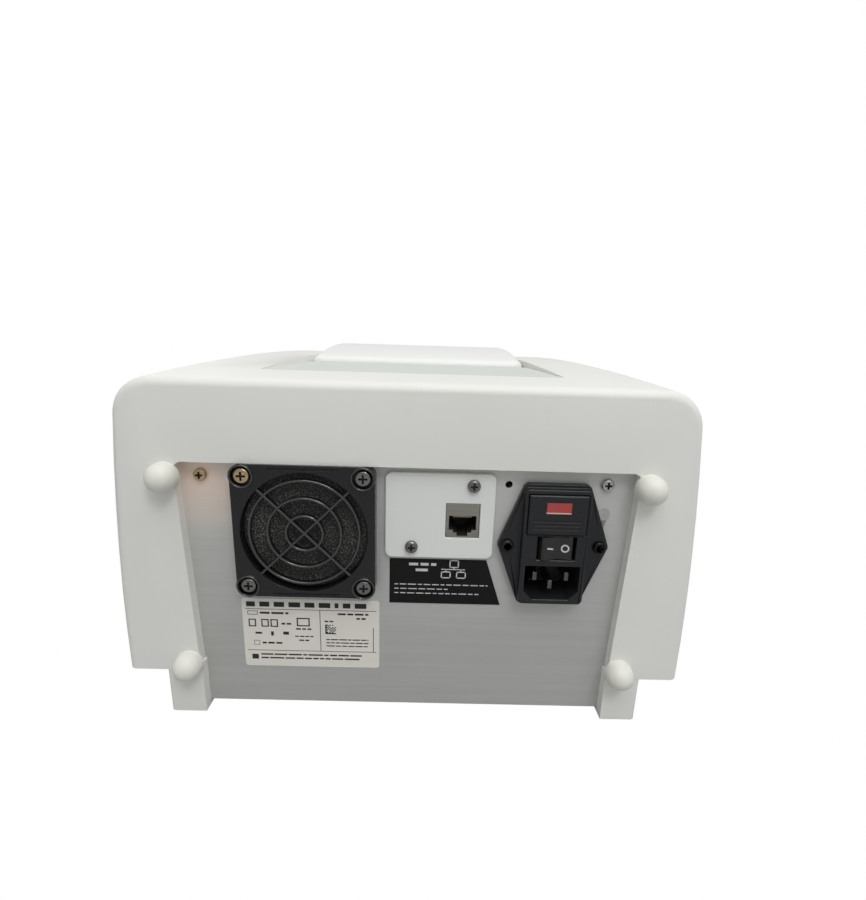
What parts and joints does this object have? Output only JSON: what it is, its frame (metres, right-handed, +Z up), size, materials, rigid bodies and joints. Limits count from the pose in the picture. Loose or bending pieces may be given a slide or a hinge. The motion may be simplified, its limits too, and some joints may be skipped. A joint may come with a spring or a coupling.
{
  "type": "real-time pcr machine",
  "caption": "Benchtop real-time PCR instrument: white hood on foot rails, lid over a pouch bay, metal rear panel with fan guard, network port and mains inlet.",
  "frame": {"origin": "on the bench, under the middle of the whole instrument", "axes": "+Y to the rear panel, -Y to the front, +Z up, +X to the left of someone behind it"},
  "size_m": [0.254, 0.393, 0.165],
  "materials": {
    "casing_white": "fine moulded texture, warm white",
    "lid_white": "fine moulded texture, white",
    "liner_grey": "moulded grey",
    "light_lens": "clear lens",
    "black_plastic": "moulded black",
    "inlet_black": "moulded black, slight sheen",
    "rocker_black": "polished black",
    "jack_tin": "tin-plated shield",
    "filter_mesh": "open mesh",
    "panel_steel": "brushed zinc-coated sheet",
    "frame_sheet": "bent sheet",
    "plate_paint": "pale paint",
    "bright_steel": "plated",
    "dark_screw": "black oxide",
    "screw_yellow": "yellow passivated",
    "contact_gold": "gold flash",
    "window_red": "translucent red",
    "fuse_glass": "clear",
    "lens_glass": "coated",
    "label_white": "laminated film",
    "label_black": "laminated film",
    "bumper_rubber": "cream rubber",
    "foot_rubber": "dark rubber",
    "guide_blue": "moulded blue",
    "guide_red": "moulded red",
    "milled_aluminium": "milled",
    "motor_metal": "drawn can",
    "board_green": "solder mask"
  },
  "bodies": {
    "casing": {"hood": "casing_white", "hinge_deck": "casing_white", "status_light": "light_lens", "hinge_pin": "bright_steel", "hinge_bracket_left": "black_plastic", "hinge_bracket_right": "black_plastic", "pouch_bay": "liner_grey", "pouch_guide_left": "guide_blue", "pouch_guide_right": "guide_red", "base_pan": "panel_steel", "rear_panel": "panel_steel", "panel_screws": "screw_yellow", "fan_guard": "black_plastic", "fan_filter": "filter_mesh", "fan_frame": "black_plastic", "fan_screws": "bright_steel", "port_plate": "plate_paint", "port_plate_screws": "bright_steel", "network_jack": "jack_tin", "jack_contacts": "contact_gold", "inlet_housing": "inlet_black", "inlet_blades": "bright_steel", "inlet_screws": "dark_screw", "white_label": "label_white", "black_label": "label_black", "inner_frame": "frame_sheet", "heater_block_left": "milled_aluminium", "heater_block_right": "milled_aluminium", "optics_housing": "black_plastic", "optics_lens": "lens_glass", "air_manifold": "milled_aluminium", "manifold_valves": "bright_steel", "bead_beater_motor": "motor_metal", "power_supply": "frame_sheet", "main_board": "board_green", "board_posts": "bright_steel", "air_pump": "motor_metal", "rear_bumper_1": "bumper_rubber", "foot_pad_1": "foot_rubber", "rear_bumper_2": "bumper_rubber", "foot_pad_2": "foot_rubber", "rear_bumper_3": "bumper_rubber", "foot_pad_3": "foot_rubber", "rear_bumper_4": "bumper_rubber", "foot_pad_4": "foot_rubber"},
    "lid": {"lid_shell": "lid_white", "lid_liner": "liner_grey", "lid_magnets": "bright_steel"},
    "fan": {"fan_rotor": "black_plastic"},
    "drawer": {"fuse_drawer": "inlet_black", "drawer_window": "window_red", "fuses": "fuse_glass"},
    "rocker": {"power_rocker": "rocker_black"},
    "beater": {"beater_disc": "contact_gold"}
  },
  "joints": [
    {"name": "lid_hinge", "type": "hinge", "parent": "casing", "child": "lid", "pos_m": [0, 0.052, 0.15], "axis": [-1, 0, 0], "range_deg": [0, 70]},
    {"name": "fan_spin", "type": "hinge", "parent": "casing", "child": "fan", "pos_m": [0.04364, 0.1688, 0.0935], "axis": [0, 1, 0], "continuous": true},
    {"name": "fuse_drawer_slide", "type": "slide", "parent": "casing", "child": "drawer", "axis": [0, 1, 0], "range_m": [0, 0.018]},
    {"name": "power_rocker_tilt", "type": "hinge", "parent": "casing", "child": "rocker", "pos_m": [-0.06406, 0.184, 0.0894], "axis": [0, 0, -1], "range_deg": [0, 12]},
    {"name": "beater_spin", "type": "hinge", "parent": "casing", "child": "beater", "pos_m": [-0.0555, -0.06, 0.05], "axis": [0, 0, 1], "continuous": true}
  ]
}
